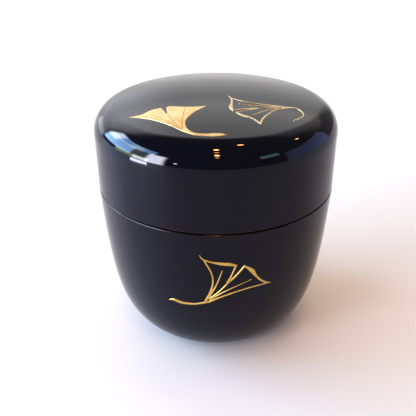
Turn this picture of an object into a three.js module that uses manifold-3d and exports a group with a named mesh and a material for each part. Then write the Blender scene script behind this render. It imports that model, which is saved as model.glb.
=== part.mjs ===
// A medium natsume: the turned and lacquered caddy that holds powdered tea for the tea ceremony.
// The body is a deep cup that narrows to a small foot. Inside its mouth a thin collar stands up,
// and the domed lid drops over that collar, so the outside runs on in one line across the seam.
// Three ginkgo leaves are laid on the lacquer in gold: one solid and one in line on the lid,
// and one in line on the front of the body.
//
// Millimetres and degrees. +Z is up along the turning axis, the front faces -Y, and the origin
// is the centre of the foot, on the surface that the caddy stands on.

import * as THREE from 'three';
import { mergeVertices } from 'three/addons/utils/BufferGeometryUtils.js';
import Module from 'manifold-3d';

const wasm = await Module();
wasm.setup();

// ---- Driving dimensions ----

const MAX_RADIUS = 33; // at the seam, where lid and body meet
const TOTAL_HEIGHT = 71;
const SEAM_HEIGHT = 46.6;
const SEAM_GAP = 0.3; // hairline between the lid's rim and the body's ledge
const EDGE_ROUND = 0.5; // rounding of the rim and of the ledge, on each side of the seam

const LID_LEAN = 0.8; // the lid's side leans in by this many degrees towards the top
const SHOULDER_RADIUS = 6.9;
const DOME_RADIUS = 150;
const LID_BORE = 30.4; // inner radius of the lid, upright over its whole depth

const BODY_LEAN = 1.7; // the body's side starts in from upright by this many degrees
const BODY_REACH = 38; // how far the upper end of the body's curve keeps its direction
const FOOT_RADIUS = 18;
const FOOT_RISE = 30; // slope of the wall where it meets the foot, in degrees
const FOOT_REACH = 12; // how far the lower end of the body's curve keeps its direction
const FOOT_RING = 2.4; // width of the flat ring that the caddy stands on
const FOOT_RECESS = 0.8; // depth of the hollow inside that ring

const COLLAR_CLEARANCE = 0.2; // all round, between the collar and the lid's bore
const COLLAR_THICKNESS = 1.4;
const COLLAR_RISE = 5.8; // above the seam
const COLLAR_CHAMFER = 0.3;
const CHAMBER_FLOOR = 3.8; // height of the inside floor
const CHAMBER_FLOOR_RADIUS = 14; // the flat middle of that floor
const CHAMBER_CORNER = { radius: 26, height: 10 }; // how tightly the wall turns into the floor

const GOLD_GAP = 0.1; // from the lacquer to the underside of the gold
const GOLD_THICKNESS = 0.2;

const TURNING_STEPS = 48; // flats round every turned piece
const ARC_STEPS = 6;
const CURVE_STEPS = 16;
const STROKE_STEPS = 3; // steps from one point of a gold stroke to the next
const MERGE_DISTANCE = 1e-4; // corners closer than this are one corner

const BLACK_LACQUER = { color: 0x0b0a0c, roughness: 0.08, metalness: 0 };
const PALE_GOLD = { color: 0xe9c98e, roughness: 0.35, metalness: 1 };
const DEEP_GOLD = { color: 0xd2a850, roughness: 0.35, metalness: 1 };

// ---- Gold leaves ----
// A stroke is a list of [across, along, half width]. On the lid the first two are X and Y, seen
// from above. On the body they are X and Z, seen from the front.

const SOLID_LEAF_EDGES = {
  leftLobe: [[-21.2, -14.3], [-18.2, -13.6], [-16.2, -11.7], [-13.7, -10.8]],
  notch: [[-13.7, -10.8], [-11.8, -15.1], [-12.4, -10.7]],
  rightLobe: [[-12.4, -10.7], [-11.5, -10.3], [-8.0, -11.2], [-4.8, -11.5], [-2.2, -11.1]],
  innerSweep: [[-2.2, -11.1], [-5.2, -14.6], [-7.2, -18.5], [-7.0, -22.3], [-5.2, -24.7],
    [-2.6, -25.3], [0.5, -25.2], [2.3, -26.0]],
  outerSweep: [[2.3, -26.0], [-1.0, -26.6], [-4.6, -25.9], [-7.6, -24.1], [-11.3, -20.5],
    [-15.5, -17.1], [-19.0, -15.1], [-21.2, -14.3]],
};

const LID_LINE_STROKES = {
  upperEdgeAndStem: [[3.3, -4.3, 0.1], [4.1, -6.0, 0.18], [7.4, -8.2, 0.18], [11.1, -9.3, 0.2],
    [15.4, -9.8, 0.35], [17.5, -10.1, 0.45], [20.0, -9.8, 0.28], [21.3, -11.8, 0.2],
    [21.2, -14.1, 0.2], [19.7, -16.1, 0.25], [18.3, -17.4, 0.15]],
  leftLobe: [[3.5, -4.6, 0.1], [4.0, -7.1, 0.25], [3.9, -9.4, 0.28], [3.6, -11.4, 0.5],
    [3.7, -12.8, 0.42], [4.0, -14.0, 0.18]],
  notchUpper: [[3.9, -13.8, 0.15], [7.0, -12.8, 0.28], [10.2, -12.1, 0.3]],
  notchLower: [[10.1, -12.3, 0.2], [7.2, -13.7, 0.2], [4.8, -15.0, 0.2]],
  lowerLobe: [[4.8, -14.9, 0.2], [5.9, -16.2, 0.35], [7.1, -17.0, 0.45], [8.6, -18.0, 0.22],
    [10.2, -20.2, 0.3]],
  rightEdge: [[10.2, -20.2, 0.28], [10.9, -18.0, 0.28], [12.4, -15.2, 0.25], [14.8, -12.2, 0.28],
    [17.9, -10.2, 0.4]],
  upperVein: [[5.8, -9.8, 0.1], [9.6, -10.5, 0.14], [15.6, -10.4, 0.3]],
  middleVein: [[10.7, -12.1, 0.1], [15.4, -10.7, 0.3]],
  lowerVein: [[8.7, -16.1, 0.12], [11.6, -13.6, 0.2], [15.2, -11.3, 0.2]],
};

const BODY_LINE_STROKES = {
  leftLobe: [[-4.3, 40.6, 0.1], [-3.6, 39.5, 0.22], [-1.2, 38.6, 0.3], [1.4, 38.1, 0.45],
    [3.0, 37.9, 0.5], [4.6, 37.4, 0.25]],
  notchLeft: [[4.6, 37.5, 0.25], [3.4, 34.1, 0.2], [2.5, 31.9, 0.3]],
  notchRight: [[2.5, 31.9, 0.3], [4.4, 33.9, 0.25], [6.7, 37.0, 0.25]],
  rightLobe: [[6.7, 36.9, 0.2], [7.7, 36.1, 0.4], [8.7, 35.0, 0.55], [9.6, 33.4, 0.35],
    [11.0, 31.5, 0.28], [12.4, 30.3, 0.25], [13.7, 29.7, 0.1]],
  lowerEdge: [[12.8, 30.0, 0.2], [8.2, 29.7, 0.22], [4.6, 28.8, 0.25], [1.0, 27.4, 0.28],
    [-2.2, 25.6, 0.35]],
  leftEdge: [[-3.2, 39.0, 0.2], [-1.6, 35.6, 0.22], [-1.1, 32.6, 0.2], [-1.7, 29.1, 0.28],
    [-3.1, 25.6, 0.3]],
  stem: [[-2.2, 25.7, 0.35], [-5.4, 24.6, 0.28], [-8.1, 24.3, 0.38], [-9.6, 24.4, 0.5],
    [-11.2, 24.8, 0.4], [-12.4, 24.4, 0.1]],
  leftVein: [[-2.1, 27.0, 0.2], [-0.1, 31.8, 0.2], [1.2, 36.0, 0.1]],
  middleVein: [[-2.0, 26.6, 0.22], [0.6, 29.4, 0.18], [2.4, 31.6, 0.25]],
  rightVein: [[-1.8, 26.6, 0.22], [2.0, 29.3, 0.18], [5.5, 31.1, 0.15], [8.5, 32.3, 0.1]],
};

// ---- Profiles: half sections, as Vector2(radius, height) ----

const point = (radius, height) => new THREE.Vector2(radius, height);
const radians = THREE.MathUtils.degToRad;
const UPRIGHT = Math.PI / 2;

// Points on a circle, both ends included.
function arc(centre, radius, from, to, steps) {
  return Array.from({ length: steps + 1 }, (_, i) => {
    const angle = from + ((to - from) * i) / steps;
    return point(centre.x + radius * Math.cos(angle), centre.y + radius * Math.sin(angle));
  });
}

// The shoulder's circle touches both the leaning side and the dome from inside. Its centre lies on
// a line parallel to the side, where its distance from the dome's centre is the radii's difference.
function shoulder() {
  const lean = radians(LID_LEAN);
  const outward = point(Math.cos(lean), Math.sin(lean));
  const upward = point(-Math.sin(lean), Math.cos(lean));
  const domeCentre = point(0, TOTAL_HEIGHT - DOME_RADIUS);
  const start = point(MAX_RADIUS, SEAM_HEIGHT).addScaledVector(outward, -SHOULDER_RADIUS);
  const fromDome = start.clone().sub(domeCentre);
  const along = fromDome.dot(upward);
  const reach = (DOME_RADIUS - SHOULDER_RADIUS) ** 2 - fromDome.lengthSq();
  const centre = start.addScaledVector(upward, Math.sqrt(along ** 2 + reach) - along);
  const towardsDome = centre.clone().sub(domeCentre).angle();
  return { lean, outward, domeCentre, centre, towardsDome };
}

// Shoulder and dome from the side to the axis, at a distance outside the lacquer (inside if < 0).
function crown(distance, fromAngle) {
  const { domeCentre, centre, towardsDome } = shoulder();
  const turn = arc(centre, SHOULDER_RADIUS + distance, fromAngle, towardsDome, ARC_STEPS);
  const dome = arc(domeCentre, DOME_RADIUS + distance, towardsDome, UPRIGHT, ARC_STEPS);
  dome[ARC_STEPS].x = 0;
  return [...turn, ...dome.slice(1)];
}

// The body's outer curve from the seam down to the foot, at a distance outside the lacquer.
function bodyCurve(distance) {
  const lean = radians(BODY_LEAN);
  const rise = radians(FOOT_RISE);
  const top = point(MAX_RADIUS, SEAM_HEIGHT);
  const foot = point(FOOT_RADIUS, 0);
  const curve = new THREE.CubicBezierCurve(
    top,
    top.clone().addScaledVector(point(-Math.sin(lean), -Math.cos(lean)), BODY_REACH),
    foot.clone().addScaledVector(point(Math.cos(rise), Math.sin(rise)), FOOT_REACH),
    foot,
  );
  return Array.from({ length: CURVE_STEPS + 1 }, (_, i) => {
    const t = i / CURVE_STEPS;
    const along = curve.getTangent(t);
    return curve.getPoint(t).addScaledVector(point(-along.y, along.x), distance);
  });
}

function lidProfile() {
  const { lean, centre } = shoulder();
  const rim = SEAM_HEIGHT + SEAM_GAP / 2;
  const innerDepth = LID_BORE - centre.x - SHOULDER_RADIUS;
  const rimRound = arc(point(MAX_RADIUS - EDGE_ROUND, rim + EDGE_ROUND), EDGE_ROUND,
    -UPRIGHT, lean, ARC_STEPS / 2);
  const inside = crown(innerDepth, 0).reverse();
  return [...inside, point(LID_BORE, rim), ...rimRound, ...crown(0, lean)];
}

function bodyProfile() {
  const ledge = SEAM_HEIGHT - SEAM_GAP / 2;
  const collarTop = SEAM_HEIGHT + COLLAR_RISE;
  const collarOuter = LID_BORE - COLLAR_CLEARANCE;
  const collarInner = collarOuter - COLLAR_THICKNESS;
  const side = bodyCurve(0).reverse().filter((p) => p.y < ledge - EDGE_ROUND);
  const chamber = new THREE.CubicBezierCurve(
    point(collarInner, ledge),
    point(collarInner, CHAMBER_CORNER.height),
    point(CHAMBER_CORNER.radius, CHAMBER_FLOOR),
    point(CHAMBER_FLOOR_RADIUS, CHAMBER_FLOOR),
  ).getPoints(CURVE_STEPS);
  return [
    point(0, FOOT_RECESS),
    point(FOOT_RADIUS - FOOT_RING - FOOT_RECESS, FOOT_RECESS),
    point(FOOT_RADIUS - FOOT_RING, 0),
    ...side,
    ...arc(point(MAX_RADIUS - EDGE_ROUND, ledge - EDGE_ROUND), EDGE_ROUND, 0, UPRIGHT,
      ARC_STEPS / 2),
    point(collarOuter, ledge),
    point(collarOuter, collarTop - COLLAR_CHAMFER),
    point(collarOuter - COLLAR_CHAMFER, collarTop),
    point(collarInner + COLLAR_CHAMFER, collarTop),
    point(collarInner, collarTop - COLLAR_CHAMFER),
    ...chamber,
    point(0, CHAMBER_FLOOR),
  ];
}

// ---- Solids ----

function turned(profile) {
  return new THREE.LatheGeometry(profile, TURNING_STEPS).rotateX(UPRIGHT);
}

function toManifold(geometry) {
  const bare = geometry.clone();
  bare.deleteAttribute('normal');
  bare.deleteAttribute('uv');
  const merged = mergeVertices(bare, MERGE_DISTANCE);
  return new wasm.Manifold(new wasm.Mesh({
    numProp: 3,
    vertProperties: new Float32Array(merged.attributes.position.array),
    triVerts: new Uint32Array(merged.index.array),
  }));
}

function toGeometry(solid) {
  const { vertProperties, triVerts } = solid.getMesh();
  const geometry = new THREE.BufferGeometry();
  geometry.setAttribute('position', new THREE.BufferAttribute(vertProperties, 3));
  geometry.setIndex(new THREE.BufferAttribute(triVerts, 1));
  geometry.computeVertexNormals();
  return geometry;
}

// A smooth run through the given points.
function smooth(points) {
  const knots = points.map(([x, y, width = 0]) => new THREE.Vector3(x, y, width));
  const spline = new THREE.CatmullRomCurve3(knots);
  return spline.getPoints((points.length - 1) * STROKE_STEPS);
}

// The outline of a brush stroke: its centre line moved sideways by its half width, both ways.
function strokeShape(stroke) {
  const line = smooth(stroke);
  const side = (sign) => line.map((p, i) => {
    const before = line[Math.max(i - 1, 0)];
    const after = line[Math.min(i + 1, line.length - 1)];
    const along = point(after.x - before.x, after.y - before.y).normalize();
    return point(p.x - sign * along.y * p.z, p.y + sign * along.x * p.z);
  });
  return new THREE.Shape([...side(1), ...side(-1).reverse()]);
}

function solidLeafShape() {
  const { leftLobe, notch, rightLobe, innerSweep, outerSweep } = SOLID_LEAF_EDGES;
  const open = (run) => run.slice(0, -1).map((p) => point(p.x, p.y));
  const corners = notch.slice(0, -1).map(([x, y]) => point(x, y));
  return new THREE.Shape([
    ...open(smooth(leftLobe)), ...corners, ...open(smooth(rightLobe)),
    ...open(smooth(innerSweep)), ...open(smooth(outerSweep)),
  ]);
}

// A prism of one shape: upright for the lid, or lying along -Y for the front of the body.
function prism(shape, onFront) {
  const depth = MAX_RADIUS + TOTAL_HEIGHT; // past the far side of the surface either way
  const geometry = new THREE.ExtrudeGeometry(shape, { depth, bevelEnabled: false });
  return toManifold(onFront ? geometry.rotateX(UPRIGHT) : geometry);
}

// Gold is cut from a thin layer parallel to the lacquer. The lid's layer starts and ends on the
// axis. The body's layer is a band round it, so its section closes on itself.
function gold(shapes, onFront) {
  const surface = (distance) => (onFront ? bodyCurve(distance).reverse() : crown(distance, 0));
  const under = surface(GOLD_GAP).reverse();
  const over = surface(GOLD_GAP + GOLD_THICKNESS);
  const section = onFront ? [...under, ...over, under[0]] : [...under, ...over];
  const drawn = shapes.map((shape) => prism(shape, onFront)).reduce((all, one) => all.add(one));
  return toGeometry(toManifold(turned(section)).intersect(drawn));
}

// ---- The caddy ----

const caddy = new THREE.Group();

function add(name, geometry, finish) {
  const mesh = new THREE.Mesh(geometry, new THREE.MeshStandardMaterial(finish));
  mesh.name = name;
  caddy.add(mesh);
}

add('body', turned(bodyProfile()), BLACK_LACQUER);
add('lid', turned(lidProfile()), BLACK_LACQUER);
add('lid_solid_leaf', gold([solidLeafShape()], false), PALE_GOLD);
add('lid_line_leaf', gold(Object.values(LID_LINE_STROKES).map(strokeShape), false), PALE_GOLD);
add('body_line_leaf', gold(Object.values(BODY_LINE_STROKES).map(strokeShape), true), DEEP_GOLD);

export default caddy;
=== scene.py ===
"""Looks of a medium natsume, the lacquered caddy for powdered tea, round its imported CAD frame.

The body and the lid are turned pieces, so each is a half section carried round the Z axis. The gold
leaves are low reliefs laid on those surfaces. Lengths are in metres, +Z is up, and the front of the
caddy faces -Y.
"""

import logging
import math
from collections.abc import Callable
from dataclasses import dataclass, field
from enum import Enum

import bpy
import numpy as np
from mathutils import Matrix, Vector


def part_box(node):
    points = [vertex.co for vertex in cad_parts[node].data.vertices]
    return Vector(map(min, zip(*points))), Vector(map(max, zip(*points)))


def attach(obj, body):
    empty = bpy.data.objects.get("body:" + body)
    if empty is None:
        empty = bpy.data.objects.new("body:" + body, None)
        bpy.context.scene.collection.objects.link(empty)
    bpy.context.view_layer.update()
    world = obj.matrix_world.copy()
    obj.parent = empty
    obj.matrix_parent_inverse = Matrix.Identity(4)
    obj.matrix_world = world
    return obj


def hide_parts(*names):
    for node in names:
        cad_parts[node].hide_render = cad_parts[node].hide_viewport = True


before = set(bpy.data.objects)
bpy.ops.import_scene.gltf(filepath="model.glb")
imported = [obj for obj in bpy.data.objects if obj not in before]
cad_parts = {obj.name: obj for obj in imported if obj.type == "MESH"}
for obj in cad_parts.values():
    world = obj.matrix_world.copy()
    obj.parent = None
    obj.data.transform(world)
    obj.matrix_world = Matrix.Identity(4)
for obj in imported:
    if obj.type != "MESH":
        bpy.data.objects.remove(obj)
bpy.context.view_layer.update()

LOG = logging.getLogger("natsume")
MM = 0.001
UPRIGHT = math.pi / 2

Array = np.ndarray
Point = tuple[float, float]

TOUCHING = 0.001 * MM
ON_AXIS = 1e-6 * MM

FLOOR_SPOKES = 96
SMALL_ROUND = 8
WIDE_ROUND = 12

EASED = {"interpolation_type": "SMOOTHSTEP"}
COLOURS = {"data_type": "RGBA"}
PRODUCT = {"operation": "MULTIPLY"}
TOTAL = {"operation": "ADD"}


# ---------------------------------------------------------------------------------------------
# Curves and half sections. A section is an array of rows (radius, height).
# ---------------------------------------------------------------------------------------------


def arc(centre: Point, radius: float, start: float, end: float, steps: int) -> Array:
    """A stretch of a circle: centre plus radius times (cosine, sine) of evenly spaced angles.

    Args:
        centre: the circle's centre, as (radius, height).
        radius: the circle's own radius.
        start: the first angle, in radians.
        end: the last angle, in radians.
        steps: the number of steps between them.

    Returns:
        The points, both ends included, as rows (radius, height).
    """
    angle = np.linspace(start, end, steps + 1)
    turned = np.stack([np.cos(angle), np.sin(angle)], axis=1)
    return np.array(centre) + radius * turned


def bezier(control: list[Point], steps: int) -> Array:
    """A cubic curve: the four controls weighed by the Bernstein terms of t from 0 to 1.

    Args:
        control: four control points.
        steps: the number of steps along the curve.

    Returns:
        The points, both ends included.
    """
    t = np.linspace(0.0, 1.0, steps + 1)[:, None]
    s = 1.0 - t
    weights = np.hstack([s**3, 3 * s * s * t, 3 * s * t * t, t**3])
    return weights @ np.array(control)


def line(start: Point, end: Point, steps: int) -> Array:
    """A straight stretch from start to end in even steps.

    Args:
        start: the first point.
        end: the last point.
        steps: the number of steps.

    Returns:
        The points, both ends included.
    """
    return np.linspace(start, end, steps + 1)


def joined(*runs: Array) -> Array:
    """The runs end to end, with a point dropped where it repeats the one before it.

    Args:
        runs: the stretches of the section, in order.

    Returns:
        One section.
    """
    section = np.vstack(runs)
    gap = np.linalg.norm(np.diff(section, axis=0), axis=1)
    return section[np.r_[True, gap > TOUCHING]]


def spline(knots: list[tuple[float, ...]], steps: int) -> Array:
    """A Catmull-Rom curve: between knots, the cubic whose slope at each knot is half the chord
    from the knot before it to the knot after it.

    Args:
        knots: the points that the curve passes through, of any one length.
        steps: the number of steps from each knot to the next.

    Returns:
        The points, both ends included, one row each.
    """
    p = np.array(knots, float)
    p = np.vstack([2 * p[0] - p[1], p, 2 * p[-1] - p[-2]])
    a, b, c, d = (p[k : len(p) - 3 + k, None, :] for k in range(4))
    t = (np.arange(steps) / steps)[None, :, None]
    curve = 0.5 * (
        2 * b + (c - a) * t + (2 * a - 5 * b + 4 * c - d) * t**2 + (3 * b - a - 3 * c + d) * t**3
    )
    return np.vstack([curve.reshape(-1, p.shape[1]), p[-2]])


# ---------------------------------------------------------------------------------------------
# Meshes
# ---------------------------------------------------------------------------------------------


def make_piece(name: str, points: Array, faces: list[Array], marks: dict[str, Array]) -> bpy.types.Object:
    """Puts a surface into a smooth-shaded mesh object at the origin.

    Args:
        name: the object's name.
        points: rows (x, y, z), in metres.
        faces: arrays of corner numbers, one array for triangles and one for quads.
        marks: values for each point that the finish reads, by name.

    Returns:
        The new object, linked to the scene.
    """
    mesh = bpy.data.meshes.new(name)
    mesh.from_pydata(points.tolist(), [], [face for group in faces for face in group.tolist()])
    for mark, values in marks.items():
        attribute = mesh.attributes.new(mark, "FLOAT", "POINT")
        attribute.data.foreach_set("value", values.astype(np.float32))
    mesh.polygons.foreach_set("use_smooth", np.ones(len(mesh.polygons), bool))
    mesh.update()
    piece = bpy.data.objects.new(name, mesh)
    bpy.context.scene.collection.objects.link(piece)
    return piece


def turned_piece(name: str, section: Array, wear: Array, turns: int) -> bpy.types.Object:
    """Carries a half section once round the Z axis. The point at height h and radius r goes to
    (r cos a, r sin a, h) for evenly spaced angles a. Both ends of the section lie on the axis,
    where one point closes the surface with a fan of triangles.

    Args:
        name: the object's name.
        section: rows (radius, height), running so that the outside is on its right.
        wear: how worn each row of the section is, from 0 to 1.
        turns: the number of flats round the axis.

    Returns:
        The new object.
    """
    angle = np.arange(turns) * (2 * math.pi / turns)
    ring = section[1:-1]
    across = ring[:, :1] * np.cos(angle)
    along = ring[:, :1] * np.sin(angle)
    up = np.repeat(ring[:, 1:], turns, axis=1)
    poles = np.array([[0, 0, section[0, 1]], [0, 0, section[-1, 1]]])
    points = np.vstack([np.stack([across, along, up], axis=2).reshape(-1, 3), poles])
    number = np.arange(len(ring) * turns).reshape(len(ring), turns)
    ahead = np.roll(number, -1, axis=1)
    quads = np.stack([number[:-1], ahead[:-1], ahead[1:], number[1:]], axis=2).reshape(-1, 4)
    first = np.full(turns, number.size)
    start = np.stack([first, ahead[0], number[0]], axis=1)
    finish = np.stack([number[-1], ahead[-1], first + 1], axis=1)
    marks = {"wear": np.r_[np.repeat(wear[1:-1], turns), wear[0], wear[-1]]}
    return make_piece(name, points, [quads, start, finish], marks)


def wear_near(section: Array, edges: list[Point], reach: float) -> Array:
    """Wear along turned edges: 1 on the edge, falling as a bell curve with distance from it.

    Args:
        section: rows (radius, height).
        edges: the points of the section where hands and cloths rub.
        reach: the distance at which the wear has fallen to about a third.

    Returns:
        One value for each row.
    """
    away = np.linalg.norm(section[:, None, :] - np.array(edges)[None], axis=2).min(axis=1)
    return np.exp(-((away / reach) ** 2))


# ---------------------------------------------------------------------------------------------
# Node trees
# ---------------------------------------------------------------------------------------------


def linear(code: str, alpha: float = 1.0) -> tuple[float, float, float, float]:
    """Turns an sRGB hex colour to linear, by the sRGB curve for each channel.

    Args:
        code: the colour, such as "#c8a050".
        alpha: its opacity.

    Returns:
        Red, green, blue and alpha.
    """
    channels = [int(code[k : k + 2], 16) / 255 for k in (1, 3, 5)]
    r, g, b = (c / 12.92 if c <= 0.04045 else ((c + 0.055) / 1.055) ** 2.4 for c in channels)
    return r, g, b, alpha


def add_node(tree: bpy.types.NodeTree, kind: str, settings: dict | None = None, **inputs) -> bpy.types.Node:
    """Adds a node, sets it and links it.

    Args:
        tree: the node tree.
        kind: the node's type, such as "ShaderNodeMix".
        settings: values of the node's own properties, by name.
        inputs: for each socket, by its name with _ for a space or by its number as _2, either an
            output socket to link or a value to set.

    Returns:
        The new node.
    """
    node = tree.nodes.new(kind)
    for key, value in (settings or {}).items():
        setattr(node, key, value)
    for key, value in inputs.items():
        socket = node.inputs[int(key[1:])] if key[1:].isdigit() else node.inputs[key.replace("_", " ")]
        if isinstance(value, bpy.types.NodeSocket):
            tree.links.new(value, socket)
        else:
            socket.default_value = value
    return node


def new_material(name: str) -> tuple[bpy.types.Material, bpy.types.NodeTree, bpy.types.Node]:
    """Makes a material with one Principled shader.

    Args:
        name: the finish's name.

    Returns:
        The material, its node tree and the shader node.
    """
    material = bpy.data.materials.new(name)
    material.use_nodes = True
    tree = material.node_tree
    tree.nodes.clear()
    shader = add_node(tree, "ShaderNodeBsdfPrincipled")
    add_node(tree, "ShaderNodeOutputMaterial", Surface=shader.outputs["BSDF"])
    return material, tree, shader


# ---------------------------------------------------------------------------------------------
# Finishes
# ---------------------------------------------------------------------------------------------


@dataclass(frozen=True)
class PolishedUrushi:
    """Black urushi lacquer over turned wood, rubbed with charcoal and hand polished to a mirror.

    It gives the eye a deep near-black with clear reflections that waver a little, a faint haze
    where it has been handled, and a dark brown where the coat has thinned along the turned edges.
    """

    black: str = "#040414"
    brown: str = "#1a0e0a"
    ior: float = 1.46
    clear: float = 0.035
    hazy: float = 0.085
    haze: float = 17 * MM
    haze_detail: float = 3.0
    haze_twist: float = 0.6
    haze_span: Point = (0.42, 0.68)
    worn: float = 0.22
    patch: float = 2.5 * MM
    patch_detail: float = 4.0
    patch_span: Point = (0.38, 0.62)
    patch_least: float = 0.25
    waver: float = 14 * MM
    waver_detail: float = 1.0
    waver_depth: float = 0.006 * MM

    def material(self) -> bpy.types.Material:
        """Builds the lacquer's node tree. The wear along the edges is broken into patches, and
        where it is full the coat is brown and its roughness is the worn one.

        Returns:
            The material.
        """
        material, tree, shader = new_material("polished_black_urushi")
        place = add_node(tree, "ShaderNodeTexCoord").outputs["Object"]
        wear = add_node(tree, "ShaderNodeAttribute", {"attribute_name": "wear"}).outputs["Fac"]
        patches = add_node(
            tree, "ShaderNodeTexNoise", Vector=place, Scale=1 / self.patch, Detail=self.patch_detail
        )
        patchy = add_node(
            tree, "ShaderNodeMapRange", EASED, Value=patches.outputs["Fac"],
            From_Min=self.patch_span[0], From_Max=self.patch_span[1], To_Min=self.patch_least, To_Max=1.0,
        )
        thin = add_node(tree, "ShaderNodeMath", PRODUCT, _0=wear, _1=patchy.outputs["Result"])
        colour = add_node(
            tree, "ShaderNodeMix", COLOURS,
            _0=thin.outputs["Value"], _6=linear(self.black), _7=linear(self.brown),
        )
        clouds = add_node(
            tree, "ShaderNodeTexNoise", Vector=place, Scale=1 / self.haze,
            Detail=self.haze_detail, Distortion=self.haze_twist,
        )
        handled = add_node(
            tree, "ShaderNodeMapRange", EASED, Value=clouds.outputs["Fac"],
            From_Min=self.haze_span[0], From_Max=self.haze_span[1], To_Min=self.clear, To_Max=self.hazy,
        )
        rubbed = add_node(
            tree, "ShaderNodeMapRange", EASED, Value=thin.outputs["Value"],
            From_Min=0.0, From_Max=1.0, To_Min=0.0, To_Max=self.worn - self.clear,
        )
        rough = add_node(
            tree, "ShaderNodeMath", TOTAL, _0=handled.outputs["Result"], _1=rubbed.outputs["Result"]
        )
        waves = add_node(
            tree, "ShaderNodeTexNoise", Vector=place, Scale=1 / self.waver, Detail=self.waver_detail
        )
        bump = add_node(
            tree, "ShaderNodeBump", Strength=1.0, Distance=self.waver_depth, Height=waves.outputs["Fac"]
        )
        shader.inputs["IOR"].default_value = self.ior
        tree.links.new(colour.outputs[2], shader.inputs["Base Color"])
        tree.links.new(rough.outputs["Value"], shader.inputs["Roughness"])
        tree.links.new(bump.outputs["Normal"], shader.inputs["Normal"])
        return material


@dataclass(frozen=True)
class GoldPowder:
    """Gold powder dusted on wet lacquer, fixed and burnished, as in maki-e.

    It gives the eye a soft satin gold that glitters a little from grain to grain, with engraved
    veins where the brown lacquer under the gold shows through.
    """

    name: str
    bright: str
    deep: str
    vein: str = "#b48a58"
    grain: float = 0.16 * MM
    grain_detail: float = 2.0
    grain_span: Point = (0.3, 0.7)
    grain_depth: float = 0.012 * MM
    grain_strength: float = 0.6
    roughness: Point = (0.34, 0.5)
    cloud: float = 3.5 * MM
    cloud_detail: float = 3.0
    cloud_twist: float = 0.4
    tone_span: Point = (0.75, 1.2)

    def material(self) -> bpy.types.Material:
        """Builds the gold's node tree. Grains and larger clouds together set how bright the gold
        is. The real grains are about 0.05 mm. They are drawn three times as coarse, so that they
        show.

        Returns:
            The material.
        """
        material, tree, shader = new_material(self.name)
        place = add_node(tree, "ShaderNodeTexCoord").outputs["Object"]
        grains = add_node(
            tree, "ShaderNodeTexNoise", Vector=place, Scale=1 / self.grain, Detail=self.grain_detail
        )
        grain = grains.outputs["Fac"]
        clouds = add_node(
            tree, "ShaderNodeTexNoise", Vector=place, Scale=1 / self.cloud,
            Detail=self.cloud_detail, Distortion=self.cloud_twist,
        )
        both = add_node(tree, "ShaderNodeMath", TOTAL, _0=grain, _1=clouds.outputs["Fac"])
        tone = add_node(
            tree, "ShaderNodeMapRange", EASED, Value=both.outputs["Value"],
            From_Min=self.tone_span[0], From_Max=self.tone_span[1], To_Min=0.0, To_Max=1.0,
        )
        gold = add_node(
            tree, "ShaderNodeMix", COLOURS,
            _0=tone.outputs["Result"], _6=linear(self.deep), _7=linear(self.bright),
        )
        vein = add_node(tree, "ShaderNodeAttribute", {"attribute_name": "vein"}).outputs["Fac"]
        colour = add_node(tree, "ShaderNodeMix", COLOURS, _0=vein, _6=gold.outputs[2], _7=linear(self.vein))
        rough = add_node(
            tree, "ShaderNodeMapRange", EASED, Value=grain,
            From_Min=self.grain_span[0], From_Max=self.grain_span[1],
            To_Min=self.roughness[0], To_Max=self.roughness[1],
        )
        bump = add_node(
            tree, "ShaderNodeBump", Strength=self.grain_strength, Distance=self.grain_depth, Height=grain
        )
        shader.inputs["Metallic"].default_value = 1.0
        tree.links.new(colour.outputs[2], shader.inputs["Base Color"])
        tree.links.new(rough.outputs["Result"], shader.inputs["Roughness"])
        tree.links.new(bump.outputs["Normal"], shader.inputs["Normal"])
        return material


class Powder(Enum):
    """The gold powders on this caddy. The slot in the record says which gold; this says how densely
    it is dusted."""

    PALE = GoldPowder("pale_gold_powder", "#d8c499", "#caac7a")
    SPARSE = GoldPowder("sparse_gold_powder", "#d4c2a0", "#b29c78")
    DEEP = GoldPowder("deep_gold_powder", "#dcbe7c", "#bc9a54")


@dataclass(frozen=True)
class PaintedBoard:
    """A pale board with a matt paint, which gives the eye soft shadows and almost no reflection."""

    pale: str = "#dcd9d5"
    roughness: float = 0.55

    def material(self) -> bpy.types.Material:
        """Builds the board's node tree.

        Returns:
            The material.
        """
        material, tree, shader = new_material("matt_painted_board")
        shader.inputs["Roughness"].default_value = self.roughness
        shader.inputs["Base Color"].default_value = linear(self.pale)
        return material


# ---------------------------------------------------------------------------------------------
# The turned pieces
# ---------------------------------------------------------------------------------------------


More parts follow.
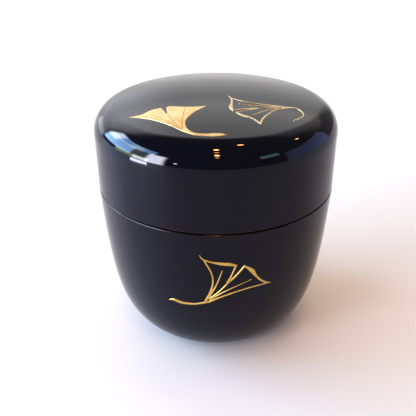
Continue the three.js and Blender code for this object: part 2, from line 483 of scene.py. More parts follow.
@dataclass
class Lid:
    """The domed lid: an upright bore inside, and outside a side that leans in to a round shoulder
    and a shallow dome. Its height and radius come from the frame."""

    lean: float = math.radians(0.8)
    shoulder: float = 6.9 * MM
    dome: float = 150 * MM
    bore: float = 30.4 * MM
    edge: float = 0.3 * MM
    inner_edge: float = 0.25 * MM
    hairline: float = 0.2 * MM
    cad_gap: float = 0.3 * MM
    wear_reach: float = 0.45 * MM
    shoulder_steps: int = 40
    dome_steps: int = 60
    side_steps: int = 30
    turns: int = 256
    radius: float = field(init=False)
    seam: float = field(init=False)
    top: float = field(init=False)

    def __post_init__(self) -> None:
        """Reads the lid's radius, seam and top from the CAD lid. Its rim is half the CAD's gap above
        the middle of the seam."""
        low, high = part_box("lid")
        self.radius = high.x
        self.seam = low.z - self.cad_gap / 2
        self.top = high.z

    @property
    def rim(self) -> float:
        """The height of the lid's rim, half the hairline above the middle of the seam.

        Returns:
            The height.
        """
        return self.seam + self.hairline / 2

    def shoulder_centre(self) -> Array:
        """Centre of the shoulder's circle, which touches the side and the dome from inside. It lies
        on a line parallel to the side, where its distance from the dome's centre is the dome's
        radius less the shoulder's.

        Returns:
            The centre, as (radius, height).
        """
        outward = np.array([math.cos(self.lean), math.sin(self.lean)])
        upward = np.array([-math.sin(self.lean), math.cos(self.lean)])
        start = np.array([self.radius, self.seam]) - self.shoulder * outward
        from_dome = start - np.array([0.0, self.top - self.dome])
        along = from_dome @ upward
        reach = (self.dome - self.shoulder) ** 2 - from_dome @ from_dome
        return start + upward * (math.sqrt(along**2 + reach) - along)

    def crown(self, depth: float, start: float) -> Array:
        """Shoulder and dome as two arcs, from the side to the axis.

        Args:
            depth: how far inside the outer surface.
            start: the angle at which the shoulder's arc starts.

        Returns:
            The points, from the side to the axis.
        """
        centre = self.shoulder_centre()
        low = np.array([0.0, self.top - self.dome])
        meet = math.atan2(centre[1] - low[1], centre[0])
        turn = arc(tuple(centre), self.shoulder - depth, start, meet, self.shoulder_steps)
        cap = arc(tuple(low), self.dome - depth, meet, UPRIGHT, self.dome_steps)
        cap[-1, 0] = 0.0
        return joined(turn, cap)

    def section(self) -> Array:
        """The whole half section: the inside from the axis down to the rim, then the outside up.

        Returns:
            Rows (radius, height).
        """
        centre = self.shoulder_centre()
        inside = self.crown(centre[0] + self.shoulder - self.bore, 0.0)[::-1]
        inner_centre = (self.bore + self.inner_edge, self.rim + self.inner_edge)
        inner = arc(inner_centre, self.inner_edge, math.pi, 3 * UPRIGHT, SMALL_ROUND)
        outer_centre = (self.radius - self.edge, self.rim + self.edge)
        outer = arc(outer_centre, self.edge, -UPRIGHT, self.lean, WIDE_ROUND)
        outside = self.crown(0.0, self.lean)
        bore = line((self.bore, centre[1]), (self.bore, inner_centre[1]), self.side_steps)
        side = line(tuple(outer[-1]), tuple(outside[0]), self.side_steps)
        return joined(inside, bore, inner, outer, side, outside)

    def height_at(self, radius: Array) -> tuple[Array, Array, Array]:
        """The outer surface at a distance from the axis.

        Args:
            radius: distances from the axis.

        Returns:
            The height there, and the outward normal's radial and upward part.
        """
        crown = self.crown(0.0, self.lean)[::-1]
        slope = np.gradient(crown[:, 1], crown[:, 0])
        tilt = np.interp(radius, crown[:, 0], slope)
        length = np.sqrt(1.0 + tilt**2)
        return np.interp(radius, crown[:, 0], crown[:, 1]), -tilt / length, 1.0 / length

    def build(self) -> bpy.types.Object:
        """Makes the lid's surface.

        Returns:
            The new object.
        """
        section = self.section()
        edges = [(self.radius, self.rim + self.edge / 2), (self.bore, self.rim)]
        wear = wear_near(section, edges, self.wear_reach)
        return turned_piece("lacquered_lid", section, wear, self.turns)


@dataclass
class Body:
    """The cup: a curve that narrows to a flat foot ring, a ledge for the lid, a thin collar and
    the tea chamber. Its radius and the collar's top come from the frame."""

    lid: Lid
    lean: float = math.radians(1.7)
    reach: float = 38 * MM
    foot: float = 18 * MM
    foot_rise: float = math.radians(30)
    foot_reach: float = 12 * MM
    foot_ring: float = 2.4 * MM
    foot_recess: float = 0.8 * MM
    foot_edge: float = 0.35 * MM
    collar_clearance: float = 0.2 * MM
    collar: float = 1.4 * MM
    collar_edge: float = 0.35 * MM
    floor: float = 3.8 * MM
    floor_radius: float = 14 * MM
    corner: Point = (26 * MM, 10 * MM)
    cove: Point = (2.2, 0.6)
    wear_reach: float = 0.5 * MM
    side_steps: int = 110
    chamber_steps: int = 90
    flat_steps: int = 20
    fine_steps: int = 600
    turns: int = 256
    radius: float = field(init=False)
    top: float = field(init=False)

    def __post_init__(self) -> None:
        """Reads the body's radius and the collar's top from the CAD body."""
        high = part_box("body")[1]
        self.radius = high.x
        self.top = high.z

    @property
    def ledge(self) -> float:
        """The height of the ledge that the lid rests on.

        Returns:
            The height.
        """
        return self.lid.seam - self.lid.hairline / 2

    def side(self, steps: int) -> Array:
        """The outer curve from the foot up to the seam, as one cubic curve that starts at the
        foot's slope and ends at the side's lean.

        Args:
            steps: the number of steps along it.

        Returns:
            The points, from the foot upwards.
        """
        foot_handle = (
            self.foot + self.foot_reach * math.cos(self.foot_rise),
            self.foot_reach * math.sin(self.foot_rise),
        )
        seam_handle = (
            self.radius - self.reach * math.sin(self.lean),
            self.lid.seam - self.reach * math.cos(self.lean),
        )
        return bezier([(self.foot, 0.0), foot_handle, seam_handle, (self.radius, self.lid.seam)], steps)

    def section(self) -> Array:
        """The whole half section: under the foot, up the outside, over the ledge and the collar,
        and down the chamber to the middle of its floor.

        Returns:
            Rows (radius, height).
        """
        edge = self.lid.edge
        outer = self.lid.bore - self.collar_clearance
        inner = outer - self.collar
        ring = self.foot - self.foot_ring
        side = self.side(self.side_steps)
        side = side[(side[:, 1] < self.ledge - edge) & (side[:, 1] > self.foot_edge / 2)]
        heel_start, heel_bend = self.foot - 2 * self.foot_edge, self.foot - self.foot_edge / 2
        heel = bezier([(heel_start, 0.0), (heel_bend, 0.0), (self.foot, 0.0), tuple(side[0])], SMALL_ROUND)
        cove_start, cove_bend = (ring - part * self.foot_recess for part in self.cove)
        hollow = line((0.0, self.foot_recess), (cove_start, self.foot_recess), self.flat_steps)
        cove = bezier(
            [tuple(hollow[-1]), (ring - self.foot_recess, self.foot_recess), (cove_bend, 0.0), (ring, 0.0)],
            WIDE_ROUND,
        )
        lip = arc((self.radius - edge, self.ledge - edge), edge, 0.0, UPRIGHT, WIDE_ROUND)
        top = self.top - self.collar_edge
        crest = joined(
            arc((outer - self.collar_edge, top), self.collar_edge, 0.0, UPRIGHT, SMALL_ROUND),
            arc((inner + self.collar_edge, top), self.collar_edge, UPRIGHT, math.pi, SMALL_ROUND),
        )
        chamber = bezier(
            [(inner, self.ledge), (inner, self.corner[1]), (self.corner[0], self.floor),
             (self.floor_radius, self.floor)],
            self.chamber_steps,
        )
        return joined(
            hollow,
            cove,
            heel,
            side,
            lip,
            line((self.radius - edge, self.ledge), (outer, self.ledge), SMALL_ROUND),
            line((outer, self.ledge), (outer, top), WIDE_ROUND),
            crest,
            line((inner, top), (inner, self.ledge), WIDE_ROUND),
            chamber,
            line((self.floor_radius, self.floor), (0.0, self.floor), self.flat_steps),
        )

    def radius_at(self, height: Array) -> tuple[Array, Array, Array]:
        """The outer surface at a height.

        Args:
            height: heights above the foot.

        Returns:
            The radius there, and the outward normal's radial and upward part.
        """
        side = self.side(self.fine_steps)
        slope = np.gradient(side[:, 0], side[:, 1])
        tilt = np.interp(height, side[:, 1], slope)
        length = np.sqrt(1.0 + tilt**2)
        return np.interp(height, side[:, 1], side[:, 0]), 1.0 / length, -tilt / length

    def build(self) -> bpy.types.Object:
        """Makes the body's surface.

        Returns:
            The new object.
        """
        section = self.section()
        outer = self.lid.bore - self.collar_clearance
        edges = [
            (self.radius, self.ledge - self.lid.edge / 2),
            (outer - self.collar / 2, self.top),
            (self.foot, 0.0),
        ]
        wear = wear_near(section, edges, self.wear_reach)
        return turned_piece("lacquered_body", section, wear, self.turns)


# ---------------------------------------------------------------------------------------------
# The gold leaves
# ---------------------------------------------------------------------------------------------

Stroke = list[tuple[float, float, float]]
Lift = Callable[[Array, Array], Array]


class Ground(Enum):
    """Which lacquered surface a leaf lies on, and so how its drawing is projected on to it."""

    LID_TOP = "seen from above, so the drawing is in X and Y"
    BODY_FRONT = "seen from the front, so the drawing is in X and Z"


def stroke_distance(at: Array, stroke: Array) -> Array:
    """Signed distance to a tapering stroke: for each short stretch, the distance to its centre line
    less the half width there, and of all stretches the least.

    Args:
        at: rows (across, along).
        stroke: rows (across, along, half width).

    Returns:
        One distance for each row of at, below 0 inside the stroke.
    """
    start, step = stroke[:-1], np.diff(stroke, axis=0)
    away = at[:, None, :] - start[None, :, :2]
    reach = np.clip((away * step[:, :2]).sum(2) / (step[:, :2] ** 2).sum(1), 0.0, 1.0)
    gap = np.linalg.norm(away - reach[:, :, None] * step[None, :, :2], axis=2)
    return (gap - start[:, 2] - reach * step[:, 2]).min(axis=1)


def outline_distance(at: Array, outline: Array) -> Array:
    """Signed distance to a closed outline: the distance to its nearest edge, made negative where a
    line to the right crosses the outline an odd number of times.

    Args:
        at: rows (across, along).
        outline: rows (across, along), with the first one not repeated.

    Returns:
        One distance for each row of at, below 0 inside the outline.
    """
    after = np.roll(outline, -1, axis=0)
    step = after - outline
    away = at[:, None, :] - outline[None]
    reach = np.clip((away * step).sum(2) / (step**2).sum(1), 0.0, 1.0)
    gap = np.linalg.norm(away - reach[:, :, None] * step[None], axis=2).min(axis=1)
    straddles = (outline[:, 1] > at[:, None, 1]) != (after[:, 1] > at[:, None, 1])
    rise = np.where(step[:, 1] == 0.0, 1.0, step[:, 1])
    crossing = outline[:, 0] + (at[:, None, 1] - outline[:, 1]) * step[:, 0] / rise
    inside = (straddles & (at[:, None, 0] < crossing)).sum(axis=1) % 2 == 1
    return np.where(inside, -gap, gap)


@dataclass
class GoldLeaf:
    """A ginkgo leaf in low relief. Its drawing is in millimetres: closed edges make a solid leaf,
    and strokes make a leaf in line. Veins are engraved into it."""

    name: str
    node: str
    rides: str
    slot: str
    powder: Powder
    ground: Ground
    strokes: dict[str, Stroke] = field(default_factory=dict)
    edges: dict[str, list[Point]] = field(default_factory=dict)
    veins: dict[str, Stroke] = field(default_factory=dict)
    cell: float = 0.065
    thickness: float = 0.09
    rounding: float = 0.14
    sunk: float = 0.02
    vein_depth: float = 0.05
    vein_soft: float = 0.07
    margin: float = 1.0
    block: int = 8
    stroke_steps: int = 6
    edge_steps: int = 8
    straight_points: int = 3
    pulls: int = 3
    nudge_parts: int = 5
    least_slope: float = 0.5

    def distance(self, at: Array) -> Array:
        """Signed distance to the leaf's edge, in millimetres.

        Args:
            at: rows (across, along).

        Returns:
            One distance for each row, below 0 on the gold.
        """
        strokes = [spline(stroke, self.stroke_steps) for stroke in self.strokes.values()]
        parts = [stroke_distance(at, stroke) for stroke in strokes]
        if self.edges:
            curves = [
                spline(run, self.edge_steps) if len(run) > self.straight_points else np.array(run)
                for run in self.edges.values()
            ]
            parts.append(outline_distance(at, np.vstack([curve[:-1] for curve in curves])))
        return np.min(parts, axis=0)

    def engraved(self, at: Array) -> Array:
        """How deep the engraving is, from 0 to 1: a bell curve across each vein.

        Args:
            at: rows (across, along).

        Returns:
            One value for each row.
        """
        if not self.veins:
            return np.zeros(len(at))
        veins = [spline(vein, self.edge_steps) for vein in self.veins.values()]
        away = np.min([stroke_distance(at, vein) for vein in veins], axis=0)
        return np.exp(-((np.maximum(away, 0.0) / self.vein_soft) ** 2))

    def gold_at(self, at: Array, shape: tuple[int, int]) -> Array:
        """Which points of a square grid lie on the gold. Blocks of cells far from the edge take the
        sign of the distance at one corner, and only points in the other blocks are measured.

        Args:
            at: the grid's points, as rows (across, along).
            shape: the number of points across and along.

        Returns:
            True for each point on gold, in the grid's shape.
        """
        grid = at.reshape(*shape, 2)
        corner = grid[:: self.block, :: self.block]
        rough = self.distance(corner.reshape(-1, 2)).reshape(corner.shape[:2])
        rough = np.kron(rough, np.ones((self.block, self.block)))[: shape[0], : shape[1]]
        inside = rough < 0
        near = np.abs(rough) < 2 * self.block * self.cell
        inside[near] = self.distance(grid[near]) < 0
        return inside

    def pulled_to_edge(self, at: Array) -> Array:
        """Moves points that lie outside the gold on to its edge, down the slope of the distance.

        Args:
            at: rows (across, along) just outside the edge.

        Returns:
            The moved rows.
        """
        nudges = np.eye(2) * self.cell / self.nudge_parts
        for _ in range(self.pulls):
            here = self.distance(at)
            ahead = np.stack([self.distance(at + nudge) for nudge in nudges], axis=1)
            slope = (ahead - here[:, None]) / nudges.max()
            steep = np.maximum((slope**2).sum(axis=1), self.least_slope**2)
            at = at - slope * (here / steep)[:, None]
        return at

    def build(self, place: Lift) -> bpy.types.Object:
        """Makes the relief. A square grid is cut to the cells that touch gold, the points outside
        are pulled to the edge, and each point is raised by a quarter circle that grows from the
        edge inwards, less the engraving. The underside is the same grid just under the lacquer,
        and walls join the two along the edge.

        Args:
            place: puts drawing points, and their height above the lacquer, into space.

        Returns:
            The new object.
        """
        drawn = [np.array(points)[:, :2] for points in (*self.strokes.values(), *self.edges.values())]
        low = np.vstack(drawn).min(axis=0) - self.margin
        high = np.vstack(drawn).max(axis=0) + self.margin
        columns, rows = (np.arange(low[k], high[k], self.cell) for k in range(2))
        at = np.stack(np.meshgrid(columns, rows, indexing="ij"), axis=2).reshape(-1, 2)
        shape = (len(columns), len(rows))
        inside = self.gold_at(at, shape)
        cells = inside[:-1, :-1] | inside[1:, :-1] | inside[:-1, 1:] | inside[1:, 1:]
        number = np.arange(at.shape[0]).reshape(shape)
        corner = [number[:-1, :-1], number[1:, :-1], number[1:, 1:], number[:-1, 1:]]
        quads = np.stack([c[cells] for c in corner], axis=1)
        padded = np.pad(cells, 1)
        open_sides = [padded[1:-1, :-2], padded[2:, 1:-1], padded[1:-1, 2:], padded[:-2, 1:-1]]
        rims = [
            np.stack([corner[k][cells & ~side], corner[(k + 1) % 4][cells & ~side]], axis=1)
            for k, side in enumerate(open_sides)
        ]
        rim = np.vstack(rims)
        used, compact = np.unique(quads, return_inverse=True)
        quads = compact.reshape(quads.shape)
        rim = np.searchsorted(used, rim)
        at = at[used]
        outside = self.distance(at) > 0
        at[outside] = self.pulled_to_edge(at[outside])
        depth = np.clip(-self.distance(at) / self.rounding, 0.0, 1.0)
        engraved = self.engraved(at) * depth
        lift = self.thickness * np.sqrt(1.0 - (1.0 - depth) ** 2) - self.vein_depth * engraved
        lift[outside] = 0.0
        points = np.vstack([place(at, lift), place(at, np.full(len(at), -self.sunk))])
        under = quads[:, ::-1] + len(at)
        walls = np.stack([rim[:, 1], rim[:, 0], rim[:, 0] + len(at), rim[:, 1] + len(at)], axis=1)
        return make_piece(self.name, points, [quads, under, walls], {"vein": np.tile(engraved, 2)})


@dataclass
class Decoration:
    """The three gold leaves and how they lie on the lacquer."""

    lid: Lid
    body: Body

    def placer(self, ground: Ground) -> Lift:
        """How a drawing is put on a surface: each point goes straight on to the lacquer along the
        view that the drawing is in, and is then raised along the surface's normal.

        Args:
            ground: the surface that the drawing is on.

        Returns:
            A function of drawing points and lifts, both in millimetres, that gives points in space.
        """

        def on_lid(at: Array, lift: Array) -> Array:
            """Points on the lid's top.

            Args:
                at: the drawing's points, as rows (X, Y).
                lift: how far each is above the lacquer.

            Returns:
                Rows (x, y, z), in metres.
            """
            radius = np.linalg.norm(at, axis=1) * MM
            height, outward, upward = self.lid.height_at(radius)
            away = at * MM / np.maximum(radius, ON_AXIS)[:, None]
            flat = at * MM + away * (outward * lift * MM)[:, None]
            return np.column_stack([flat, height + upward * lift * MM])

        def on_body(at: Array, lift: Array) -> Array:
            """Points on the front of the body.

            Args:
                at: the drawing's points, as rows (X, Z).
                lift: how far each is above the lacquer.

            Returns:
                Rows (x, y, z), in metres.
            """
            radius, outward, upward = self.body.radius_at(at[:, 1] * MM)
            across = at[:, 0] * MM / radius
            forward = -np.sqrt(1.0 - across**2)
            away = radius + outward * lift * MM
            return np.column_stack([across * away, forward * away, at[:, 1] * MM + upward * lift * MM])

        return on_lid if ground is Ground.LID_TOP else on_body

    def leaves(self) -> list[GoldLeaf]:
        """The drawings, in millimetres, on the same points as the CAD leaves.

        Returns:
            The three leaves.
        """
        solid = GoldLeaf(
            "gold_solid_leaf", "lid_solid_leaf", "lid", "pale_gold", Powder.PALE, Ground.LID_TOP,
            edges={
                "left_lobe": [(-21.2, -14.3), (-18.2, -13.6), (-16.2, -11.7), (-13.7, -10.8)],
                "notch": [(-13.7, -10.8), (-11.8, -15.1), (-12.4, -10.7)],
                "right_lobe": [(-12.4, -10.7), (-11.5, -10.3), (-8.0, -11.2), (-4.8, -11.5),
                               (-2.2, -11.1)],
                "inner_sweep": [(-2.2, -11.1), (-5.2, -14.6), (-7.2, -18.5), (-7.0, -22.3),
                                (-5.2, -24.7), (-2.6, -25.3), (0.5, -25.2), (2.3, -26.0)],
                "outer_sweep": [(2.3, -26.0), (-1.0, -26.6), (-4.6, -25.9), (-7.6, -24.1),
                                (-11.3, -20.5), (-15.5, -17.1), (-19.0, -15.1), (-21.2, -14.3)],
            },
            veins={
                "right": [(-7.9, -23.2, 0.07), (-8.1, -19.5, 0.07), (-7.9, -15.3, 0.05),
                          (-7.7, -12.0, 0.02)],
                "middle": [(-8.2, -22.9, 0.07), (-9.5, -20.5, 0.06), (-10.7, -17.7, 0.05),
                           (-11.6, -15.4, 0.03)],
                "left": [(-8.4, -23.0, 0.07), (-10.4, -20.3, 0.06), (-12.5, -17.8, 0.05),
                         (-14.8, -15.5, 0.03), (-15.9, -14.2, 0.01)],
                "lower": [(-8.9, -22.7, 0.03), (-11.5, -19.9, 0.02), (-14.4, -17.2, 0.01),
                          (-17.4, -15.1, 0.0)],
            },
        )
        lid_line = GoldLeaf(
            "gold_line_leaf", "lid_line_leaf", "lid", "pale_gold", Powder.SPARSE, Ground.LID_TOP,
            strokes={
                "upper_edge_and_stem": [(3.3, -4.3, 0.1), (4.1, -6.0, 0.18), (7.4, -8.2, 0.18),
                                        (11.1, -9.3, 0.2), (15.4, -9.8, 0.35), (17.5, -10.1, 0.45),
                                        (20.0, -9.8, 0.28), (21.3, -11.8, 0.2), (21.2, -14.1, 0.2),
                                        (19.7, -16.1, 0.25), (18.3, -17.4, 0.15)],
                "left_lobe": [(3.5, -4.6, 0.1), (4.0, -7.1, 0.25), (3.9, -9.4, 0.28),
                              (3.6, -11.4, 0.5), (3.7, -12.8, 0.42), (4.0, -14.0, 0.18)],
                "notch_upper": [(3.9, -13.8, 0.15), (7.0, -12.8, 0.28), (10.2, -12.1, 0.3)],
                "notch_lower": [(10.1, -12.3, 0.2), (7.2, -13.7, 0.2), (4.8, -15.0, 0.2)],
                "lower_lobe": [(4.8, -14.9, 0.2), (5.9, -16.2, 0.35), (7.1, -17.0, 0.45),
                               (8.6, -18.0, 0.22), (10.2, -20.2, 0.3)],
                "right_edge": [(10.2, -20.2, 0.28), (10.9, -18.0, 0.28), (12.4, -15.2, 0.25),
                               (14.8, -12.2, 0.28), (17.9, -10.2, 0.4)],
                "upper_vein": [(5.8, -9.8, 0.1), (9.6, -10.5, 0.14), (15.6, -10.4, 0.3)],
                "middle_vein": [(10.7, -12.1, 0.1), (15.4, -10.7, 0.3)],
                "lower_vein": [(8.7, -16.1, 0.12), (11.6, -13.6, 0.2), (15.2, -11.3, 0.2)],
            },
        )
        body_line = GoldLeaf(
            "gold_front_leaf", "body_line_leaf", "body", "deep_gold", Powder.DEEP, Ground.BODY_FRONT,
            strokes={
                "left_lobe": [(-4.3, 40.6, 0.1), (-3.6, 39.5, 0.22), (-1.2, 38.6, 0.3),
                              (1.4, 38.1, 0.45), (3.0, 37.9, 0.5), (4.6, 37.4, 0.25)],
                "notch_left": [(4.6, 37.5, 0.25), (3.4, 34.1, 0.2), (2.5, 31.9, 0.3)],
                "notch_right": [(2.5, 31.9, 0.3), (4.4, 33.9, 0.25), (6.7, 37.0, 0.25)],
                "right_lobe": [(6.7, 36.9, 0.2), (7.7, 36.1, 0.4), (8.7, 35.0, 0.55),
                               (9.6, 33.4, 0.35), (11.0, 31.5, 0.28), (12.4, 30.3, 0.25),
                               (13.7, 29.7, 0.1)],
                "lower_edge": [(12.8, 30.0, 0.2), (8.2, 29.7, 0.22), (4.6, 28.8, 0.25),
                               (1.0, 27.4, 0.28), (-2.2, 25.6, 0.35)],
                "left_edge": [(-3.2, 39.0, 0.2), (-1.6, 35.6, 0.22), (-1.1, 32.6, 0.2),
                              (-1.7, 29.1, 0.28), (-3.1, 25.6, 0.3)],
                "stem": [(-2.2, 25.7, 0.35), (-5.4, 24.6, 0.28), (-8.1, 24.3, 0.38),
                         (-9.6, 24.4, 0.5), (-11.2, 24.8, 0.4), (-12.4, 24.4, 0.1)],
                "left_vein": [(-2.1, 27.0, 0.2), (-0.1, 31.8, 0.2), (1.2, 36.0, 0.1)],
                "middle_vein": [(-2.0, 26.6, 0.22), (0.6, 29.4, 0.18), (2.4, 31.6, 0.25)],
                "right_vein": [(-1.8, 26.6, 0.22), (2.0, 29.3, 0.18), (5.5, 31.1, 0.15),
                               (8.5, 32.3, 0.1)],
            },
        )
        return [solid, lid_line, body_line]


# ---------------------------------------------------------------------------------------------
# The studio
# ---------------------------------------------------------------------------------------------


@dataclass(frozen=True)
class Panel:
    """A soft-edged lit panel far from the caddy, as the lacquer would mirror it. Angles are in
    degrees: azimuth from +Y towards +X, and elevation above the horizon."""

    azimuth: Point
    elevation: Point
    colour: str
    strength: float
    soft: Point = (4.0, 4.0)


@dataclass(frozen=True)
class Lamp:
    """A small round lamp far from the caddy, by its direction and angular radius in degrees."""

    azimuth: float
    elevation: float
    radius: float
    colour: str
    strength: float

    def direction(self) -> tuple[float, float, float]:
        """The unit vector towards the lamp.

        Returns:
            Its X, Y and Z.
        """
        a, e = math.radians(self.azimuth), math.radians(self.elevation)
        return math.sin(a) * math.cos(e), math.cos(a) * math.cos(e), math.sin(e)


@dataclass(frozen=True)
class Card:
    """A lit card standing on the board, by its azimuth in degrees from +Y towards +X, its distance
    from the caddy, its width and height in metres, its power in watts, and whether the lacquer
    mirrors it."""

    azimuth: float
    distance: float
    size: Point
    colour: str
    power: float
    mirrored: bool


@dataclass
class Studio:
    """The pale floor, the soft lights round it and the camera."""

    floor_radius: float = 5.0
    floor_drop: float = 0.02 * MM
    backdrop: str = "#fdfdff"
    room: str = "#928f8f"
    lens: float = 45.0
    sensor: float = 36.0
    target: tuple[float, float, float] = (-2.2 * MM, 0.0, 35.2 * MM)
    distance: float = 155.7 * MM
    elevation: float = math.radians(29.6)
    roll: float = math.radians(-0.38)
    clip: Point = (0.01, 20.0)
    lamp_edge: Point = (1.2, 0.8)
    card_gap: float = 0.05
    cards: tuple[Card, ...] = (
        Card(-112, 0.33, (0.10, 0.045), "#dcdcff", 0.27, True),
        Card(-72, 0.40, (0.20, 0.06), "#e8e4ff", 0.1, False),
        Card(-30, 0.45, (0.20, 0.06), "#ffffff", 0.08, False),
    )
    panels: tuple[Panel, ...] = (
        Panel((-50, 52), (24, 52), "#fcf8f0", 0.45, (24.0, 8.0)),
        Panel((-56, 26), (-20, 47), "#fafaf8", 0.65, (14.0, 8.0)),
        Panel((-54, -12), (8, 44), "#e6eeff", 0.6, (14.0, 10.0)),
        Panel((-56, -34), (-20, 10), "#e8f0ff", 1.2, (4.0, 4.0)),
        Panel((-120, -61), (27, 37), "#a4d0ff", 7.0, (3.0, 3.0)),
        Panel((-73, -58), (18, 37), "#fff0dc", 5.0, (4.0, 3.0)),
        Panel((-133, -116), (-20, 28), "#eaecff", 16.0, (6.0, 6.0)),
        Panel((-98, -59), (6, 28), "#a6d0ff", 9.5, (4.0, 2.0)),
        Panel((-118, -102), (-20, 9), "#fbffff", 12.0, (4.0, 4.0)),
        Panel((-102, -80), (-20, 9), "#d8f0b8", 4.0, (4.0, 3.0)),
        Panel((-118, -97), (9, 28), "#dcf4e8", 1.6, (4.0, 4.0)),
        Panel((-106, -90), (25, 36), "#fff8f0", 3.0, (10.0, 8.0)),
        Panel((61, 115), (-20, 27), "#a4b8ff", 1.1, (3.0, 3.0)),
        Panel((119, 138), (25, 34), "#a8e0dc", 3.0, (2.0, 3.0)),
    )
    lamps: tuple[Lamp, ...] = (
        Lamp(179, 76, 1.6, "#ffc078", 80.0),
        Lamp(179, 65, 1.8, "#ffa850", 20.0),
        Lamp(179, 54, 1.8, "#ffc078", 100.0),
        Lamp(179, 45, 1.6, "#ffa850", 20.0),
        Lamp(66, 77, 1.6, "#ffc078", 50.0),
        Lamp(74, 43, 1.4, "#ffc078", 30.0),
        Lamp(-144, 12, 1.8, "#efdcff", 20.0),
    )

    def floor(self) -> bpy.types.Object:
        """Makes the pale board that the caddy stands on, as a fan round the origin.

        Returns:
            The floor.
        """
        number = np.arange(FLOOR_SPOKES)
        angle = number * (2 * math.pi / FLOOR_SPOKES)
        ring = np.column_stack([np.cos(angle), np.sin(angle), np.zeros(FLOOR_SPOKES)]) * self.floor_radius
        fan = np.stack([np.full(FLOOR_SPOKES, FLOOR_SPOKES), number, np.roll(number, -1)], axis=1)
        board = make_piece("pale_floor", np.vstack([ring, np.zeros((1, 3))]), [fan], {})
        board.location.z = -self.floor_drop
        board.data.materials.append(PaintedBoard().material())
        return board

    def stand(self, card: Card) -> None:
        """Stands a lit card on the board, facing the caddy, with a gap under it that is a small part
        of its height. The camera doesn't see it.

        Args:
            card: the card.
        """
        width, height = card.size
        data = bpy.data.lights.new("low_card", "AREA")
        data.shape = "RECTANGLE"
        data.size, data.size_y = width, height
        data.energy = card.power
        data.color = linear(card.colour)[:3]
        standing = bpy.data.objects.new("low_card", data)
        turn = math.radians(card.azimuth)
        away = Vector((math.sin(turn), math.cos(turn), 0.0))
        middle = Vector((0.0, 0.0, height * (0.5 + self.card_gap)))
        place = Matrix.Translation(away * card.distance + middle)
        standing.matrix_world = place @ away.to_track_quat("Z", "Y").to_matrix().to_4x4()
        standing.visible_camera = False
        standing.visible_glossy = card.mirrored
        bpy.context.scene.collection.objects.link(standing)

    def world(self) -> None:
        """Lights the scene. Each panel is a smooth box in azimuth and elevation, each lamp a smooth
        disc round its direction, and their light adds to the dim room. The camera itself sees a
        plain pale backdrop."""
        world = bpy.data.worlds.new("soft_studio")
        bpy.context.scene.world = world
        world.use_nodes = True
        tree = world.node_tree
        tree.nodes.clear()
        towards = add_node(tree, "ShaderNodeTexCoord").outputs["Generated"]
        axes = add_node(tree, "ShaderNodeSeparateXYZ", _0=towards).outputs
        turn = add_node(tree, "ShaderNodeMath", {"operation": "ARCTAN2"}, _0=axes["X"], _1=axes["Y"])
        rise = add_node(tree, "ShaderNodeMath", {"operation": "ARCSINE"}, _0=axes["Z"])
        room = add_node(tree, "ShaderNodeRGB")
        light = room.outputs["Color"]
        light.default_value = linear(self.room)
        for panel in self.panels:
            across = self.band(tree, turn.outputs["Value"], panel.azimuth, panel.soft[0])
            up = self.band(tree, rise.outputs["Value"], panel.elevation, panel.soft[1])
            mask = add_node(tree, "ShaderNodeMath", PRODUCT, _0=across, _1=up)
            light = self.lit(tree, light, mask.outputs["Value"], panel.colour, panel.strength)
        for lamp in self.lamps:
            light = self.lit(tree, light, self.spot(tree, towards, lamp), lamp.colour, lamp.strength)
        seen = add_node(tree, "ShaderNodeLightPath").outputs["Is Camera Ray"]
        colour = add_node(tree, "ShaderNodeMix", COLOURS, _0=seen, _6=light, _7=linear(self.backdrop))
        shining = add_node(tree, "ShaderNodeBackground", Color=colour.outputs[2], Strength=1.0)
        add_node(tree, "ShaderNodeOutputWorld", Surface=shining.outputs["Background"])

    def spot(
        self, tree: bpy.types.NodeTree, towards: bpy.types.NodeSocket, lamp: Lamp
    ) -> bpy.types.NodeSocket:
        """A mask that is 1 inside a lamp's disc, with a soft edge: the cosine of the angle from the
        lamp, eased from 0 to 1 across the edge.

        Args:
            tree: the node tree.
            towards: the direction that the light comes from.
            lamp: the lamp.

        Returns:
            The mask.
        """
        near = add_node(
            tree, "ShaderNodeVectorMath", {"operation": "DOT_PRODUCT"}, _0=towards, _1=lamp.direction()
        )
        outside, inside = (math.cos(math.radians(lamp.radius * part)) for part in self.lamp_edge)
        mask = add_node(
            tree, "ShaderNodeMapRange", EASED, Value=near.outputs["Value"],
            From_Min=outside, From_Max=inside, To_Min=0.0, To_Max=1.0,
        )
        return mask.outputs["Result"]

    def band(
        self, tree: bpy.types.NodeTree, angle: bpy.types.NodeSocket, span: Point, soft: float
    ) -> bpy.types.NodeSocket:
        """A mask that is 1 while an angle is inside a span, with soft ends: the distance from the
        span's middle, eased from 1 to 0 across its end.

        Args:
            tree: the node tree.
            angle: the angle, in radians.
            span: the low and high end, in degrees.
            soft: the width of the soft end, in degrees.

        Returns:
            The mask.
        """
        middle, half = math.radians(sum(span) / 2), math.radians(span[1] - span[0]) / 2
        edge = math.radians(soft) / 2
        off = add_node(tree, "ShaderNodeMath", {"operation": "SUBTRACT"}, _0=angle, _1=middle)
        away = add_node(tree, "ShaderNodeMath", {"operation": "ABSOLUTE"}, _0=off.outputs["Value"])
        mask = add_node(
            tree, "ShaderNodeMapRange", EASED, Value=away.outputs["Value"],
            From_Min=half - edge, From_Max=half + edge, To_Min=1.0, To_Max=0.0,
        )
        return mask.outputs["Result"]

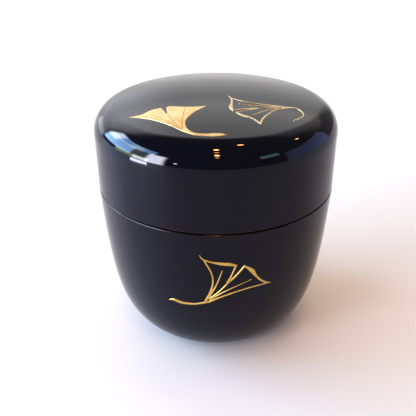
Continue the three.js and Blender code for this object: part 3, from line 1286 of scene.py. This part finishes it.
    def lit(
        self, tree: bpy.types.NodeTree, light: bpy.types.NodeSocket, mask: bpy.types.NodeSocket,
        colour: str, strength: float,
    ) -> bpy.types.NodeSocket:
        """Adds one source's colour, times its strength and its mask, to the light so far.

        Args:
            tree: the node tree.
            light: the light so far.
            mask: where the source is.
            colour: its sRGB colour.
            strength: how bright it is.

        Returns:
            The new light.
        """
        red, green, blue, _ = linear(colour)
        glow = add_node(
            tree, "ShaderNodeVectorMath", {"operation": "SCALE"},
            _0=(red * strength, green * strength, blue * strength), Scale=mask,
        )
        total = add_node(
            tree, "ShaderNodeVectorMath", {"operation": "ADD"}, _0=light, _1=glow.outputs[0]
        )
        return total.outputs[0]

    def camera(self) -> None:
        """Places the camera: back from the target by the distance, raised by the elevation, and
        turned by the roll about its own line of sight."""
        data = bpy.data.cameras.new("camera")
        data.lens = self.lens
        data.sensor_width = self.sensor
        data.clip_start, data.clip_end = self.clip
        camera = bpy.data.objects.new("camera", data)
        back = Vector((0.0, -math.cos(self.elevation), math.sin(self.elevation)))
        facing = (-back).to_track_quat("-Z", "Y").to_matrix().to_4x4()
        place = Matrix.Translation(Vector(self.target) + back * self.distance)
        camera.matrix_world = place @ facing @ Matrix.Rotation(self.roll, 4, "Z")
        bpy.context.scene.collection.objects.link(camera)
        bpy.context.scene.camera = camera

    def build(self) -> None:
        """Makes the floor, the lights and the camera."""
        self.camera()
        self.floor()
        for card in self.cards:
            self.stand(card)
        self.world()
        bpy.context.scene.view_settings.view_transform = "Standard"
        bpy.context.scene.view_settings.look = "High Contrast"


# ---------------------------------------------------------------------------------------------
# The caddy
# ---------------------------------------------------------------------------------------------


def settle(piece: bpy.types.Object, finish: bpy.types.Material, body: str, node: str) -> None:
    """Dresses a piece and ties it to the frame.

    Args:
        piece: the finished piece.
        finish: its material.
        body: the CAD body that it moves with.
        node: the CAD node that it stands for.
    """
    piece.data.materials.append(finish)
    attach(piece, body)
    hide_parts(node)
    LOG.info("%s: %d faces, on %s", piece.name, len(piece.data.polygons), body)


def main() -> None:
    """Builds the studio, the turned pieces and the gold."""
    logging.basicConfig(level=logging.INFO, format="%(message)s")
    Studio().build()
    lid = Lid()
    body = Body(lid)
    urushi = PolishedUrushi().material()
    gold = {powder: powder.value.material() for powder in Powder}
    settle(body.build(), urushi, "body", "body")
    settle(lid.build(), urushi, "lid", "lid")
    decoration = Decoration(lid, body)
    for leaf in decoration.leaves():
        piece = leaf.build(decoration.placer(leaf.ground))
        settle(piece, gold[leaf.powder], leaf.rides, leaf.node)


if __name__ == "__main__":
    main()
